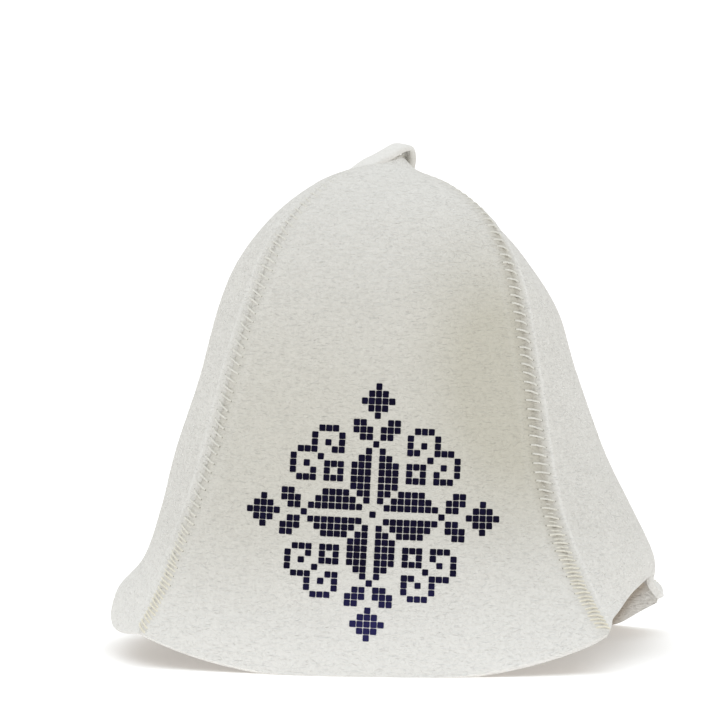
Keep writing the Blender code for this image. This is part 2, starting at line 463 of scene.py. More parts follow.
def spline(values, places):
    """Smooth values at places counted in rows, by a Catmull-Rom spline through the rows."""
    values = np.asarray(values, float)
    places = np.asarray(places, float)
    last = len(values) - 1
    row = np.clip(places.astype(int), 0, last - 1)
    part = places - row
    before, low, high, after = (values[np.clip(row + step, 0, last)] for step in (-1, 0, 1, 2))
    square = part * part
    cube = square * part
    return (
        (2 * cube - 3 * square + 1) * low
        + (cube - 2 * square + part) * (high - before) / 2
        + (3 * square - 2 * cube) * high
        + (cube - square) * (after - low) / 2
    )


def section_at(places):
    """The section's sizes at places counted in rows of the table, each as an array."""
    return Section(*(spline(column, places) for column in SECTION_TABLE.T))


FINE_PLACES = np.linspace(0, TOP, 601)
FINE_HEIGHTS = section_at(FINE_PLACES).height


def place_of_height(height):
    """The place in the table, in rows, where the skin has this height."""
    return float(np.interp(height, FINE_HEIGHTS, FINE_PLACES))


def seam_points(seam, section):
    """Where a seam crosses the sections: on its leaning plane, at its distance from their centres."""
    heading = math.radians(seam.heading)
    along = np.array([math.sin(heading), -math.cos(heading)])
    aside = np.array([along[1], -along[0]])
    fade = np.clip(1 - np.clip(section.height, 0, None) / KICK_REACH, 0, None)
    radius = section.seam + seam.kick * fade * fade
    drop = CROWN_HEIGHT - section.height
    centre = np.stack([section.centre, np.zeros_like(section.centre)], -1)
    start = np.array([CROWN_X, 0.0]) - centre + aside * (seam.lean * drop)[:, None]
    reach = start @ along
    run = -reach + np.sqrt(np.clip(reach**2 - (start**2).sum(-1) + radius**2, 0, None))
    return centre + start + along * run[:, None]


def seam_normal(seam):
    """The unit normal of a seam's plane, which points anticlockwise seen from above."""
    heading = math.radians(seam.heading)
    normal = np.array([math.cos(heading), math.sin(heading), -seam.lean])
    return normal / np.linalg.norm(normal)


def skin_points(name, across, places):
    """Points of the outer skin, in millimetres: across a gore from 0 to 1, at places in rows."""
    gore = GORES[name]
    section = section_at(places)
    first = seam_points(SEAMS[gore.first], section)
    last = seam_points(SEAMS[gore.last], section)
    chord = last - first
    outward = np.stack([chord[:, 1], -chord[:, 0]], -1)
    outward /= np.maximum(np.linalg.norm(outward, axis=1), 1e-9)[:, None]
    bow = getattr(section, name) * 4 * across * (1 - across)
    spot = first + chord * across + outward * bow[:, None]
    near = hump(np.linalg.norm(spot - np.array(LOBE_SPOT), axis=1), LOBE_REACH)
    spot[:, 0] += LOBE * near * hump(section.height - LOBE_HEIGHT, LOBE_RISE)
    off = np.hypot(spot[:, 0] - PUCKER_X, spot[:, 1])
    level = section.height + PUCKER * hump(off, PUCKER_REACH)
    return np.column_stack([spot, level]) + np.array([AXIS_X, AXIS_Y, 0])


def hem_height(name, across):
    """The hem's height across a gore, rounded from corner to corner."""
    gore = GORES[name]
    start, end = SEAMS[gore.first].hem, SEAMS[gore.last].hem
    sag = gore.hem - (start + end) / 2
    turn = gore.turn if across < 0.5 else gore.end_turn
    height = start + (end - start) * across + sag * (1 - abs(2 * across - 1) ** turn)
    for wave in WAVES:
        if wave.gore == name:
            height -= wave.depth * hump(across - wave.across, wave.reach) * math.sin(math.pi * across) ** 0.5
    return height


def run_along(line):
    """How far along a line each of its points is."""
    return np.concatenate([[0], np.cumsum(np.linalg.norm(np.diff(line, axis=0), axis=1))])


def skin_column(name, across, rows):
    """One column of the outer skin from the hem to the tip, its points evenly spaced."""
    foot = max(hem_height(name, across), 0)
    fine = np.linspace(place_of_height(foot), TOP - TIP_STOP, 200)
    line = skin_points(name, across, fine)
    run = run_along(line)
    return skin_points(name, across, np.interp(np.linspace(0, run[-1], rows + 1), run, fine))


def across_values(edge, step, middle):
    """Places across a gore, close together near both seams."""
    fine = np.arange(edge) * step
    inner = np.linspace(edge * step, 1 - edge * step, middle + 1)
    return np.concatenate([fine, inner, 1 - fine[::-1]])


def unit(vectors):
    """The vectors at length one."""
    return vectors / np.maximum(np.linalg.norm(vectors, axis=-1), 1e-9)[..., None]


def hump(distance, reach):
    """A smooth bump that is 1 at no distance and fades out past its reach."""
    return np.exp(-((distance / reach) ** 2))


def ramp(values, low, high):
    """0 below low and 1 above high, with a smooth rise between."""
    part = np.clip((values - low) / (high - low), 0, 1)
    return part * part * (3 - 2 * part)


def quads(index):
    """The faces of a grid of point numbers."""
    corners = [index[:-1, :-1], index[1:, :-1], index[1:, 1:], index[:-1, 1:]]
    return np.stack(corners, -1).reshape(-1, 4).tolist()


def new_object(name, mesh):
    """A new object in the scene, at the origin."""
    obj = bpy.data.objects.new(name, mesh)
    bpy.context.scene.collection.objects.link(obj)
    return obj


def float_attribute(mesh, name, values):
    """Store one number at each of the mesh's points."""
    attribute = mesh.attributes.new(name, "FLOAT", "POINT")
    attribute.data.foreach_set("value", np.asarray(values, np.float32).ravel())


def vector_attribute(mesh, name, values):
    """Store one vector at each of the mesh's points."""
    attribute = mesh.attributes.new(name, "FLOAT_VECTOR", "POINT")
    attribute.data.foreach_set("vector", np.asarray(values, np.float32).ravel())


def lumpiness(points, size, octaves, seed):
    """Smooth noise at points in millimetres, with lumps of this size."""
    shift = Vector((seed * 17.3, seed * 5.1, seed * 9.7))
    total = np.zeros(len(points))
    strength = 1.0
    for _ in range(octaves):
        total += strength * np.array([noise.noise(Vector(p) / size + shift) for p in points])
        size /= 2
        strength /= 2
    return total


def crease_depth(name, grid):
    """How deep the faint creases press at each point of a gore's skin."""
    depth = np.zeros(grid.shape[:2])
    for crease in CREASES:
        if crease.gore != name:
            continue
        place = place_of_height(crease.height)
        middle = skin_points(name, crease.across, np.array([place]))[0]
        side = skin_points(name, crease.across + 0.01, np.array([place]))[0] - middle
        side /= np.linalg.norm(side)
        gap = grid - middle
        tilt = math.radians(crease.tilt)
        level, rise = gap @ side, gap[..., 2]
        along = level * math.cos(tilt) + rise * math.sin(tilt)
        off = -level * math.sin(tilt) + rise * math.cos(tilt)
        near = hump(np.linalg.norm(gap, axis=-1), crease.length * 1.2)
        depth += crease.depth * hump(along, crease.length / 2) * hump(off, crease.width / 2) * near
    return depth


def painted_shade_strength(name, grid):
    """How much painted shade darkens each point of a gore's skin, from 0 to 1."""
    painted_shade = np.zeros(grid.shape[:2])
    for patch in SHADE_PATCHES:
        if patch.gore == name:
            middle = skin_points(name, patch.across, np.array([place_of_height(patch.height)]))[0]
            level = np.linalg.norm(grid[..., :2] - middle[:2], axis=-1) / patch.width
            rise = (grid[..., 2] - middle[2]) / patch.rise
            painted_shade += patch.strength * np.exp(-(level**SHADE_PATCH_POWER) - np.abs(rise) ** SHADE_PATCH_POWER)
    return painted_shade


def gore_surfaces(name, settings):
    """A gore's outer and inner skins as grids of points, and what is stored at each point."""
    gore, felt, seam = GORES[name], settings.felt, settings.seam
    places = across_values(EDGE_COLUMNS, EDGE_STEP, MIDDLE_COLUMNS)
    grid = np.stack([skin_column(name, across, ROWS) for across in places])
    normal = unit(np.cross(np.gradient(grid, axis=0), np.gradient(grid, axis=1)))
    open_seam = 1 - ramp(grid[..., 2], CROWN_FADE, CROWN_HEIGHT)
    into = normal.copy()
    outer = grid.copy()
    rise, drawn, close, ridge = np.zeros((4, *grid.shape[:2]))
    for column, sign, key in ((0, 1, gore.first), (-1, -1, gore.last)):
        line = grid[column]
        gap = np.linalg.norm(grid - line[None], axis=-1)
        wall = seam_normal(SEAMS[key])
        # Near the seam the wall's thickness runs along the seam's plane, so that the two edges butt.
        into -= hump(gap, TURN_REACH)[..., None] * (into @ wall)[..., None] * wall
        outer += (sign * SEAM_GAP / 2 * hump(gap, CLOSE_REACH))[..., None] * wall
        swell = SEAMS[key].swell_after if sign > 0 else SEAMS[key].swell_before
        swell = swell * ramp(grid[..., 2], *RIDGE_SETS_IN)
        # The thread pulls hardest at each stitch, and the felt between its pulls stays a little higher.
        beat = 0.5 + 0.5 * np.cos(2 * math.pi * run_along(line) / (seam.pitch / MM))[None]
        pull = seam.valley / MM * (VALLEY_FLOOR + VALLEY_BEAT * beat) * hump(gap, seam.valley_reach / MM)
        pull += HOLE_DENT * beat * hump(gap - seam.width / MM / 2, HOLE_REACH)
        pull += HOLLOW_DENT * (1 - beat) * hump(gap - HOLLOW_GAP, HOLLOW_REACH)
        strength = HEM_STRENGTH + (1 - HEM_STRENGTH) * ramp(grid[..., 2], *SEAM_SETS_IN)
        drawn += pull * open_seam * strength
        rise += swell * hump(gap - seam.ridge / MM, RIDGE_REACH) * open_seam
        # Partly pressed wool, partly painted shade: the felt is darkened along the seam's valley.
        close = np.maximum(close, SEAMS[key].shade * strength * hump(gap, SHADE_REACH) * open_seam)
        # Painted highlight: the ridge's top is paled where light catches it.
        ridge = np.maximum(ridge, swell * hump(gap - seam.ridge / MM, RIDGE_HIGHLIGHT_REACH) * open_seam)
    flat = outer.reshape(-1, 3)
    bumps = felt.lumps * lumpiness(flat, LUMP_SIZE, 2, 1) + felt.swells * lumpiness(flat, SWELL_SIZE, 1, 2)
    bumps = bumps.reshape(rise.shape)
    rise += bumps / MM * NOISE_GAIN
    rise -= crease_depth(name, grid)
    outer += into * (rise - drawn)[..., None]
    thick = FELT - THINNED * drawn + UNEVEN * bumps / MM
    inner = grid + (outer - grid) * INNER_FOLLOWS - into * thick[..., None]
    depth = grid[..., 2] - grid[:, :1, 2] + STEP_LEFT * (LOBE_EDGE - grid[..., 0])
    stored = {
        "seam": close, "ridge": ridge, "painted_shade": painted_shade_strength(name, grid), "drawn": drawn * MM,
        "inside": ramp(depth, *DARK_DEPTHS),
    }
    return outer, inner, stored


def shell_mesh(name, outer, inner, stored):
    """A closed felt wall between two grids of points, with a rounded hem."""
    columns, rows = outer.shape[:2]
    up = unit(outer[:, 1] - outer[:, 0])
    rim = []
    for part in np.arange(1, RIM_STEPS) / RIM_STEPS:
        bulge = HEM_BULGE * (1 - (2 * part - 1) ** 2)
        rim.append(outer[:, 0] * (1 - part) + inner[:, 0] * part - up * bulge)
    # The rows run down the outer skin, round the hem and up the inner skin. None lies below the table.
    points = np.concatenate([outer.swapaxes(0, 1)[::-1], np.stack(rim), inner.swapaxes(0, 1)])
    points[..., 2] = np.maximum(points[..., 2], 0)
    count = len(points)
    index = np.arange(count * columns).reshape(count, columns)
    faces = quads(np.vstack([index, index[:1]]))
    # The wall's two edges are closed from skin to skin, and by one face at the hem's rounding.
    for column, way in ((0, 1), (-1, -1)):
        side = index[:, column]
        edge = np.stack([side[:rows][::-1], side[-rows:]])
        faces += [face[::way] for face in quads(edge)]
        faces.append(side[rows - 1:count - rows + 1][::-way].tolist())
    mesh = bpy.data.meshes.new(name)
    mesh.from_pydata((points * MM).reshape(-1, 3).tolist(), [], faces)
    for key, values in stored.items():
        foot = np.repeat(values[:, :1].T, RIM_STEPS - 1, 0)
        column = np.concatenate([values.T[::-1], foot, values.T])
        # Only the inner skin gets the painted inner shade.
        if key == "inside":
            column[:-rows] = 0
        float_attribute(mesh, key, column)
    mesh.shade_smooth()
    mesh.set_sharp_from_angle(angle=math.radians(SHARP_ANGLE))
    return mesh


def set_inputs(tree, made, values):
    """Give a node's inputs, by name or number, their values or links."""
    for key, value in values.items():
        socket = made.inputs[key]
        if isinstance(value, bpy.types.NodeSocket):
            tree.links.new(value, socket)
        else:
            socket.default_value = value


def node(tree, kind, values=None, **traits):
    """A new node with its traits and its inputs' values or links."""
    made = tree.nodes.new(kind)
    for trait, value in traits.items():
        setattr(made, trait, value)
    set_inputs(tree, made, values or {})
    return made


def output(tree, kind, values=None, **traits):
    """The first output of a new node."""
    return node(tree, kind, values, **traits).outputs[0]


def arithmetic(tree, operation, first, second=0.0):
    """The result of one sum on two numbers or sockets."""
    return output(tree, "ShaderNodeMath", {0: first, 1: second}, operation=operation)


def vector_sum(tree, operation, first, second):
    """The result of one sum on two vectors."""
    return output(tree, "ShaderNodeVectorMath", {0: first, 1: second}, operation=operation)


def scaled(tree, vector, size):
    """A vector times a number."""
    return output(tree, "ShaderNodeVectorMath", {0: vector, "Scale": size}, operation="SCALE")


def new_tree(name, inputs):
    """A geometry tree with named inputs, and the inputs' identifiers."""
    tree = bpy.data.node_groups.new(name, "GeometryNodeTree")
    tree.is_modifier = True
    tree.interface.new_socket("Geometry", in_out="INPUT", socket_type="NodeSocketGeometry")
    tree.interface.new_socket("Geometry", in_out="OUTPUT", socket_type="NodeSocketGeometry")
    identifiers = {}
    for label, kind in inputs.items():
        socket = tree.interface.new_socket(label, in_out="INPUT", socket_type="NodeSocket" + kind)
        identifiers[label] = socket.identifier
    start = tree.nodes.new("NodeGroupInput")
    end = tree.nodes.new("NodeGroupOutput")
    return tree, start.outputs, end.inputs, identifiers


def run_tree(obj, tree, identifiers, values):
    """Run a geometry tree on an object and keep the result as its plain mesh."""
    modifier = obj.modifiers.new(tree.name, "NODES")
    modifier.node_group = tree
    for label, value in values.items():
        modifier[identifiers[label]] = value
    obj.update_tag()
    bpy.context.view_layer.update()
    graph = bpy.context.evaluated_depsgraph_get()
    mesh = bpy.data.meshes.new_from_object(obj.evaluated_get(graph), depsgraph=graph)
    obj.modifiers.remove(modifier)
    obj.data = mesh
    if not len(mesh.polygons):
        raise RuntimeError(f"{tree.name} made nothing")


def finish_piece(obj, slot, *nodes):
    """Let a finished piece ride on the hat, in place of its solids."""
    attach(obj, BODY)
    if nodes:
        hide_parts(*nodes)


def new_material(name):
    """A node material with its Principled shader and its Object coordinates."""
    material = bpy.data.materials.new(name)
    material.use_nodes = True
    tree = material.node_tree
    shader = tree.nodes["Principled BSDF"]
    place = tree.nodes.new("ShaderNodeTexCoord").outputs["Object"]
    return material, tree, shader, place


def mixed(tree, factor, first, second):
    """A colour between two colours."""
    return node(tree, "ShaderNodeMix", {0: factor, 6: first, 7: second}, data_type="RGBA").outputs[2]


def remapped(tree, value, low, high):
    """A number stretched from low..high to 0..1 and kept there."""
    return output(tree, "ShaderNodeMapRange", {"Value": value, "From Min": low, "From Max": high})


def share(tree, value, low, high, strength):
    """A number stretched from low..high to 0..1, at this strength."""
    return arithmetic(tree, "MULTIPLY", remapped(tree, value, low, high), strength)


def attribute(tree, name):
    """A number stored at the mesh's points."""
    return node(tree, "ShaderNodeAttribute", attribute_name=name).outputs["Fac"]


def height_of(tree, place):
    """The height of a place over the table."""
    return node(tree, "ShaderNodeSeparateXYZ", {0: place}).outputs["Z"]


def cloud(tree, place, size, stretch=(1, 1, 1), detail=2.0, rough=0.5, warp=0.0):
    """Noise with clumps of this size in metres, longer along the axes with a low stretch."""
    spot = output(tree, "ShaderNodeMapping", {"Vector": place, "Scale": stretch})
    values = {"Vector": spot, "Scale": 1 / size, "Detail": detail, "Roughness": rough, "Distortion": warp}
    return output(tree, "ShaderNodeTexNoise", values)


def four(colour):
    """A colour with its alpha."""
    return (*colour, 1.0)


def felt_material(settings, name="felt", painted_light=0.0, strength=1.0):
    """Pressed wool: mottled flecks, pale hairs and a soft nap, with painted light towards the hem and crown
    and on the ridges, and painted shade in patches, inside and along the seams, where the wool is also
    pressed.
    """
    felt = settings.felt
    material, tree, shader, place = new_material(name)
    blotches = cloud(tree, place, 0.02, detail=3.0)
    fibres = cloud(tree, place, 0.0024, (0.8, 0.8, 1.3), detail=5.0, rough=0.75, warp=0.5)
    hairs = cloud(tree, place, 0.0012, (0.4, 0.4, 1.2), detail=4.0, rough=0.7, warp=1.2)
    grain = cloud(tree, place, 0.0007, detail=2.0)
    flecks = share(tree, fibres, 0.36, 0.64, 0.65)
    flecks = arithmetic(tree, "ADD", flecks, share(tree, blotches, 0.3, 0.7, 0.2))
    flecks = arithmetic(tree, "ADD", flecks, share(tree, grain, 0.3, 0.7, 0.15))
    base = mixed(tree, flecks, four(felt.shade), four(felt.colour))
    base = mixed(tree, share(tree, hairs, 0.55, 0.7, 0.3), base, four(felt.pale))
    # Painted light: the felt is paled towards the hem and at the crown, where more light falls on it.
    low = share(tree, height_of(tree, place), 0.055, 0.005, 0.8)
    high = share(tree, height_of(tree, place), 0.15, 0.2, 0.2)
    base = mixed(tree, arithmetic(tree, "ADD", low, high), base, four(felt.pale))
    # Painted shade: patches of the front gore are darkened where it lies in shade.
    base = mixed(tree, attribute(tree, "painted_shade"), base, four(felt.painted_shade))
    # Partly pressed wool and partly painted shade along the seams, and painted shade on the loop's inner
    # side.
    base = mixed(tree, attribute(tree, "seam"), base, four(felt.seam_shade))
    # Painted highlight: the seams' raised ridges are paled along their tops.
    ridge = arithmetic(tree, "MULTIPLY", attribute(tree, "ridge"), 0.6)
    base = mixed(tree, ridge, base, four(felt.pale))
    # Painted shade: the inner side is darkened with its depth inside the hat.
    inside = arithmetic(tree, "MULTIPLY", attribute(tree, "inside"), 0.8)
    base = mixed(tree, inside, base, four(felt.inside))
    # Painted light: the whole piece is paled, for the loop on top of the hat that catches the light.
    if painted_light:
        base = mixed(tree, painted_light, base, four(felt.pale))
    relief = cloud(tree, place, 0.0012, (0.6, 0.6, 1.1), detail=1.0, rough=0.35, warp=0.3)
    bump = output(tree, "ShaderNodeBump", {"Height": relief, "Strength": strength, "Distance": 0.0013})
    rough = output(tree, "ShaderNodeMapRange", {"Value": fibres, "To Min": 0.86, "To Max": 1.0})
    values = {
        "Base Color": base, "Normal": bump, "Roughness": rough, "Sheen Weight": 0.2,
        "Sheen Roughness": 0.5, "Specular IOR Level": 0.1,
    }
    set_inputs(tree, shader, values)
    return material


def thread_material(settings):
    """Spun thread with a slight gloss, creamier near the hem."""
    material, tree, shader, place = new_material("seam_thread")
    strands = cloud(tree, place, 0.0005, detail=2.0)
    low = remapped(tree, height_of(tree, place), 0.07, 0.02)
    colour = mixed(tree, low, four(settings.seam.colour), four(settings.seam.hem_colour))
    dull = output(tree, "ShaderNodeHueSaturation", {"Value": 0.85, "Color": colour})
    base = mixed(tree, remapped(tree, strands, 0.35, 0.65), dull, colour)
    bump = output(tree, "ShaderNodeBump", {"Height": strands, "Strength": 0.5, "Distance": 0.0001})
    values = {"Base Color": base, "Normal": bump, "Roughness": 0.6, "Specular IOR Level": 0.3}
    set_inputs(tree, shader, values)
    return material


def hole_material():
    """Painted shade: a dark pit that stands in for the shade in the hollow of a needle hole."""
    material, tree, shader, place = new_material("needle_hole")
    wool = cloud(tree, place, 0.0006)
    base = mixed(tree, remapped(tree, wool, 0.3, 0.7), (0.26, 0.245, 0.20, 1), (0.46, 0.44, 0.375, 1))
    set_inputs(tree, shader, {"Base Color": base, "Roughness": 1.0, "Specular IOR Level": 0.0})
    return material


def ink_material(settings):
    """Navy ink soaked into the wool, uneven in patches, painted paler and bluer towards the hem where more
    light falls, and with a few pale fibres showing.
    """
    rosette = settings.rosette
    material, tree, shader, place = new_material("navy_ink")
    fibres = cloud(tree, place, 0.0012, (0.5, 1, 1.4), detail=3.0, warp=0.8)
    patches = cloud(tree, place, 0.005, detail=2.0)
    # Painted light: the ink pales towards the hem; the random patches are the ink's own unevenness.
    low = remapped(tree, height_of(tree, place), 0.04, 0.018)
    low = arithmetic(tree, "ADD", low, share(tree, patches, 0.5, 0.8, 0.25))
    base = mixed(tree, arithmetic(tree, "MULTIPLY", low, 0.8), four(rosette.colour), four(rosette.patchy_and_lit_ink))
    base = mixed(tree, share(tree, fibres, 0.64, 0.85, 0.15), base, (0.08, 0.08, 0.16, 1))
    bump = output(tree, "ShaderNodeBump", {"Height": fibres, "Strength": 0.4, "Distance": 0.0003})
    values = {"Base Color": base, "Normal": bump, "Roughness": 0.85, "Specular IOR Level": 0.12}
    set_inputs(tree, shader, values)
    return material


def strand(tree, start, end, second):
    """One straight thread in eleven points, marked with its place along it and whether it is the second."""
    line = output(tree, "GeometryNodeCurvePrimitiveLine", {"Start": start, "End": end})
    line = output(tree, "GeometryNodeResampleCurve", {"Curve": line, "Count": 11}, mode="COUNT")
    part = node(tree, "GeometryNodeSplineParameter").outputs["Factor"]
    for name, value in (("part", part), ("second", second)):
        values = {"Geometry": line, "Name": name, "Value": value}
        line = output(tree, "GeometryNodeStoreNamedAttribute", values, data_type="FLOAT", domain="POINT")
    return line


def named(tree, name, kind="FLOAT"):
    """A stored attribute by its name."""
    return output(tree, "GeometryNodeInputNamedAttribute", {"Name": name}, data_type=kind)


def flat_point(tree, right, up):
    """A point in the stitch's own plane."""
    return output(tree, "ShaderNodeCombineXYZ", {0: right, 1: up})


def joined(tree, *parts):
    """Several geometries as one."""
    join = tree.nodes.new("GeometryNodeJoinGeometry")
    for part in parts:
        tree.links.new(part, join.inputs[0])
    return join.outputs[0]


def geometry_of(tree, piece):
    """Another object's geometry, where it lies."""
    values = {"Object": piece}
    return node(tree, "GeometryNodeObjectInfo", values, transform_space="RELATIVE").outputs["Geometry"]


def random_vector(tree, low, high, seed):
    """A vector at each point, each of its numbers drawn between low's and high's."""
    values = {"Min": low, "Max": high, "Seed": seed}
    return output(tree, "FunctionNodeRandomValue", values, data_type="FLOAT_VECTOR")


def turned(tree, rotation, turn):
    """A rotation with a further turn about its own axes."""
    return output(tree, "FunctionNodeRotateRotation", {0: rotation, 1: turn}, rotation_space="LOCAL")


def by_height(tree, level, change):
    """A number that goes from its first value to its last between two heights."""
    values = {
        "Value": level, "From Min": change.start * MM, "From Max": change.end * MM,
        "To Min": change.first, "To Max": change.last,
    }
    return output(tree, "ShaderNodeMapRange", values)


def stitch_tree(thread, hole):
    """Slanted threads laid across a line on the felt, a pair at each step, and their needle holes.

    The second thread of each pair sinks into the wool higher up, so the stitches show closer near the hem.
    """
    inputs = {
        "Before": "Object", "After": "Object", "Pitch": "Float", "Width": "Float", "Slope": "Float",
        "Thread": "Float", "Hole": "Float", "Seed": "Int",
    }
    tree, given, result, identifiers = new_tree("zigzag_seam", inputs)
    line = output(tree, "GeometryNodeMeshToCurve", {0: given["Geometry"]})
    values = {"Curve": line, "Length": given["Pitch"]}
    steps = output(tree, "GeometryNodeResampleCurve", values, mode="LENGTH")
    out = named(tree, "out", "FLOAT_VECTOR")
    upward = output(tree, "GeometryNodeInputTangent")
    facing = output(
        tree, "FunctionNodeAxesToRotation", {"Primary Axis": out, "Secondary Axis": upward},
        primary_axis="Z", secondary_axis="Y",
    )
    sway = random_vector(tree, (0, 0, -STITCH_SWAY), (0, 0, STITCH_SWAY), given["Seed"])
    sway = output(tree, "FunctionNodeEulerToRotation", {0: sway})
    facing = turned(tree, facing, sway)
    half = arithmetic(tree, "MULTIPLY", given["Width"], 0.5)
    back = arithmetic(tree, "MULTIPLY", half, -1.0)
    left = flat_point(tree, back, 0.0)
    right = flat_point(tree, half, arithmetic(tree, "MULTIPLY", given["Slope"], -1.0))
    lower = flat_point(tree, 0.0, arithmetic(tree, "MULTIPLY", given["Pitch"], -0.5))
    next_left = vector_sum(tree, "ADD", left, lower)
    next_right = vector_sum(tree, "ADD", right, lower)
    stitch = joined(tree, strand(tree, left, right, 0.0), strand(tree, next_left, next_right, 1.0))
    spread = random_vector(tree, *STITCH_SIZES, given["Seed"])
    values = {"Points": steps, "Instance": stitch, "Rotation": facing, "Scale": spread}
    loose = output(tree, "GeometryNodeInstanceOnPoints", values)
    loose = output(tree, "GeometryNodeRealizeInstances", {0: loose})
    both = joined(tree, geometry_of(tree, given["Before"]), geometry_of(tree, given["After"]))
    normal = output(tree, "GeometryNodeInputNormal")
    undrawn = scaled(tree, normal, named(tree, "drawn"))
    felt = output(tree, "GeometryNodeSetPosition", {"Geometry": both, "Offset": undrawn})
    nearest = node(tree, "GeometryNodeProximity", {0: felt}, target_element="FACES").outputs["Position"]
    level = node(tree, "ShaderNodeSeparateXYZ", {0: nearest}).outputs["Z"]
    # A thread lies a little over the felt along its middle and dives into it at both ends.
    edge = arithmetic(tree, "SUBTRACT", arithmetic(tree, "MULTIPLY", named(tree, "part"), 2.0), 1.0)
    dive = arithmetic(tree, "POWER", arithmetic(tree, "ABSOLUTE", edge), 7.0)
    lift = arithmetic(tree, "SUBTRACT", 0.2, arithmetic(tree, "MULTIPLY", dive, 1.1))
    lift = arithmetic(tree, "MULTIPLY", lift, given["Thread"])
    pressed = by_height(tree, level, THREADS_SINK)
    lift = arithmetic(tree, "SUBTRACT", lift, arithmetic(tree, "MULTIPLY", named(tree, "second"), pressed))
    buried = by_height(tree, level, THREADS_BURIED)
    lift = arithmetic(tree, "SUBTRACT", lift, buried)
    raised = vector_sum(tree, "ADD", nearest, scaled(tree, out, lift))
    laid = output(tree, "GeometryNodeSetPosition", {"Geometry": loose, "Position": raised})
    fluffy = by_height(tree, level, THREADS_THIN)
    laid = output(tree, "GeometryNodeSetCurveRadius", {"Curve": laid, "Radius": fluffy})
    radius = arithmetic(tree, "MULTIPLY", given["Thread"], 0.5)
    ring = output(tree, "GeometryNodeCurvePrimitiveCircle", {"Resolution": 6, "Radius": radius})
    values = {"Curve": laid, "Profile Curve": ring, "Fill Caps": True}
    tube = output(tree, "GeometryNodeCurveToMesh", values)
    tube = output(tree, "GeometryNodeSetMaterial", {"Geometry": tube, "Material": thread})
    # Above the height where the second threads start to sink, a first one has a small dark pit at each end,
    # painted shade for its needle holes.
    ends = output(tree, "GeometryNodeCurveEndpointSelection", {"Start Size": 1, "End Size": 1})
    radius = arithmetic(tree, "MULTIPLY", given["Hole"], 0.5)
    pit = output(tree, "GeometryNodeMeshUVSphere", {"Segments": 10, "Rings": 5, "Radius": radius})
    flat = output(tree, "FunctionNodeAlignRotationToVector", {"Vector": out}, axis="Z")
    depth = arithmetic(tree, "SUBTRACT", -HOLE_DEPTH, buried)
    sunk = vector_sum(tree, "ADD", nearest, scaled(tree, out, depth))
    spots = output(tree, "GeometryNodeSetPosition", {"Geometry": loose, "Position": sunk})
    first = arithmetic(tree, "SUBTRACT", 1.0, named(tree, "second"))
    high = arithmetic(tree, "GREATER_THAN", level, THREADS_SINK.start * MM)
    open_hole = arithmetic(tree, "MULTIPLY", arithmetic(tree, "MULTIPLY", ends, first), high)
    values = {
        "Points": spots, "Selection": open_hole, "Instance": pit, "Rotation": flat, "Scale": (1, 1, 0.4),
    }
    holes = output(tree, "GeometryNodeInstanceOnPoints", values)
    holes = output(tree, "GeometryNodeRealizeInstances", {0: holes})
    holes = output(tree, "GeometryNodeSetMaterial", {"Geometry": holes, "Material": hole})
    tree.links.new(joined(tree, tube, holes), result["Geometry"])
    return tree, identifiers


def rosette_tree(ink):
    """A rounded cell of ink on each point, laid on the felt along +Y."""
    inputs = {"Felt": "Object", "Cell": "Float", "Tilt": "Float", "Proud": "Float", "Seed": "Int"}
    tree, given, result, identifiers = new_tree("printed_rosette", inputs)
    values = {"Width": given["Cell"], "Height": given["Cell"]}
    square = output(tree, "GeometryNodeCurvePrimitiveQuadrilateral", values)
    corner = arithmetic(tree, "MULTIPLY", given["Cell"], CELL_CORNER)
    values = {"Curve": square, "Count": 3, "Radius": corner}
    square = output(tree, "GeometryNodeFilletCurve", values, mode="POLY")
    cell = output(tree, "GeometryNodeFillCurve", {"Curve": square}, mode="NGONS")
    values = {2: -CELL_SWAY, 3: CELL_SWAY, "Seed": given["Seed"]}
    turn = node(tree, "FunctionNodeRandomValue", values, data_type="FLOAT").outputs[1]
    turn = arithmetic(tree, "SUBTRACT", turn, given["Tilt"])
    spin = output(tree, "ShaderNodeCombineXYZ", {2: turn})
    upright = output(tree, "FunctionNodeEulerToRotation", {0: (math.pi / 2, 0, 0)})
    spin = output(tree, "FunctionNodeEulerToRotation", {0: spin})
    facing = turned(tree, upright, spin)
    spread = random_vector(tree, *CELL_SIZES, given["Seed"])
    tall = output(tree, "ShaderNodeCombineXYZ", {0: 1.0, 1: named(tree, "tall"), 2: 1.0})
    spread = vector_sum(tree, "MULTIPLY", spread, tall)
    values = {"Points": given["Geometry"], "Instance": cell, "Rotation": facing, "Scale": spread}
    cells = output(tree, "GeometryNodeInstanceOnPoints", values)
    cells = output(tree, "GeometryNodeRealizeInstances", {0: cells})
    felt = geometry_of(tree, given["Felt"])
    values = {"Target Geometry": felt, "Ray Direction": (0, 1, 0), "Ray Length": CELLS_REACH}
    ray = node(tree, "GeometryNodeRaycast", values)
    # The ink starts half its height under the felt, so that no gap shows beneath it.
    sink = scaled(tree, ray.outputs["Hit Normal"], arithmetic(tree, "MULTIPLY", given["Proud"], -0.5))
    spot = vector_sum(tree, "ADD", ray.outputs["Hit Position"], sink)
    laid = output(tree, "GeometryNodeSetPosition", {"Geometry": cells, "Position": spot})
    depth = arithmetic(tree, "MULTIPLY", given["Proud"], 1.5)
    values = {"Mesh": laid, "Offset Scale": depth, "Individual": True}
    raised = output(tree, "GeometryNodeExtrudeMesh", values, mode="FACES")
    under = output(tree, "GeometryNodeFlipFaces", {0: laid})
    values = {"Geometry": joined(tree, raised, under), "Distance": 0.00001}
    welded = output(tree, "GeometryNodeMergeByDistance", values)
    inked = output(tree, "GeometryNodeSetMaterial", {"Geometry": welded, "Material": ink})
    tree.links.new(inked, result["Geometry"])
    return tree, identifiers


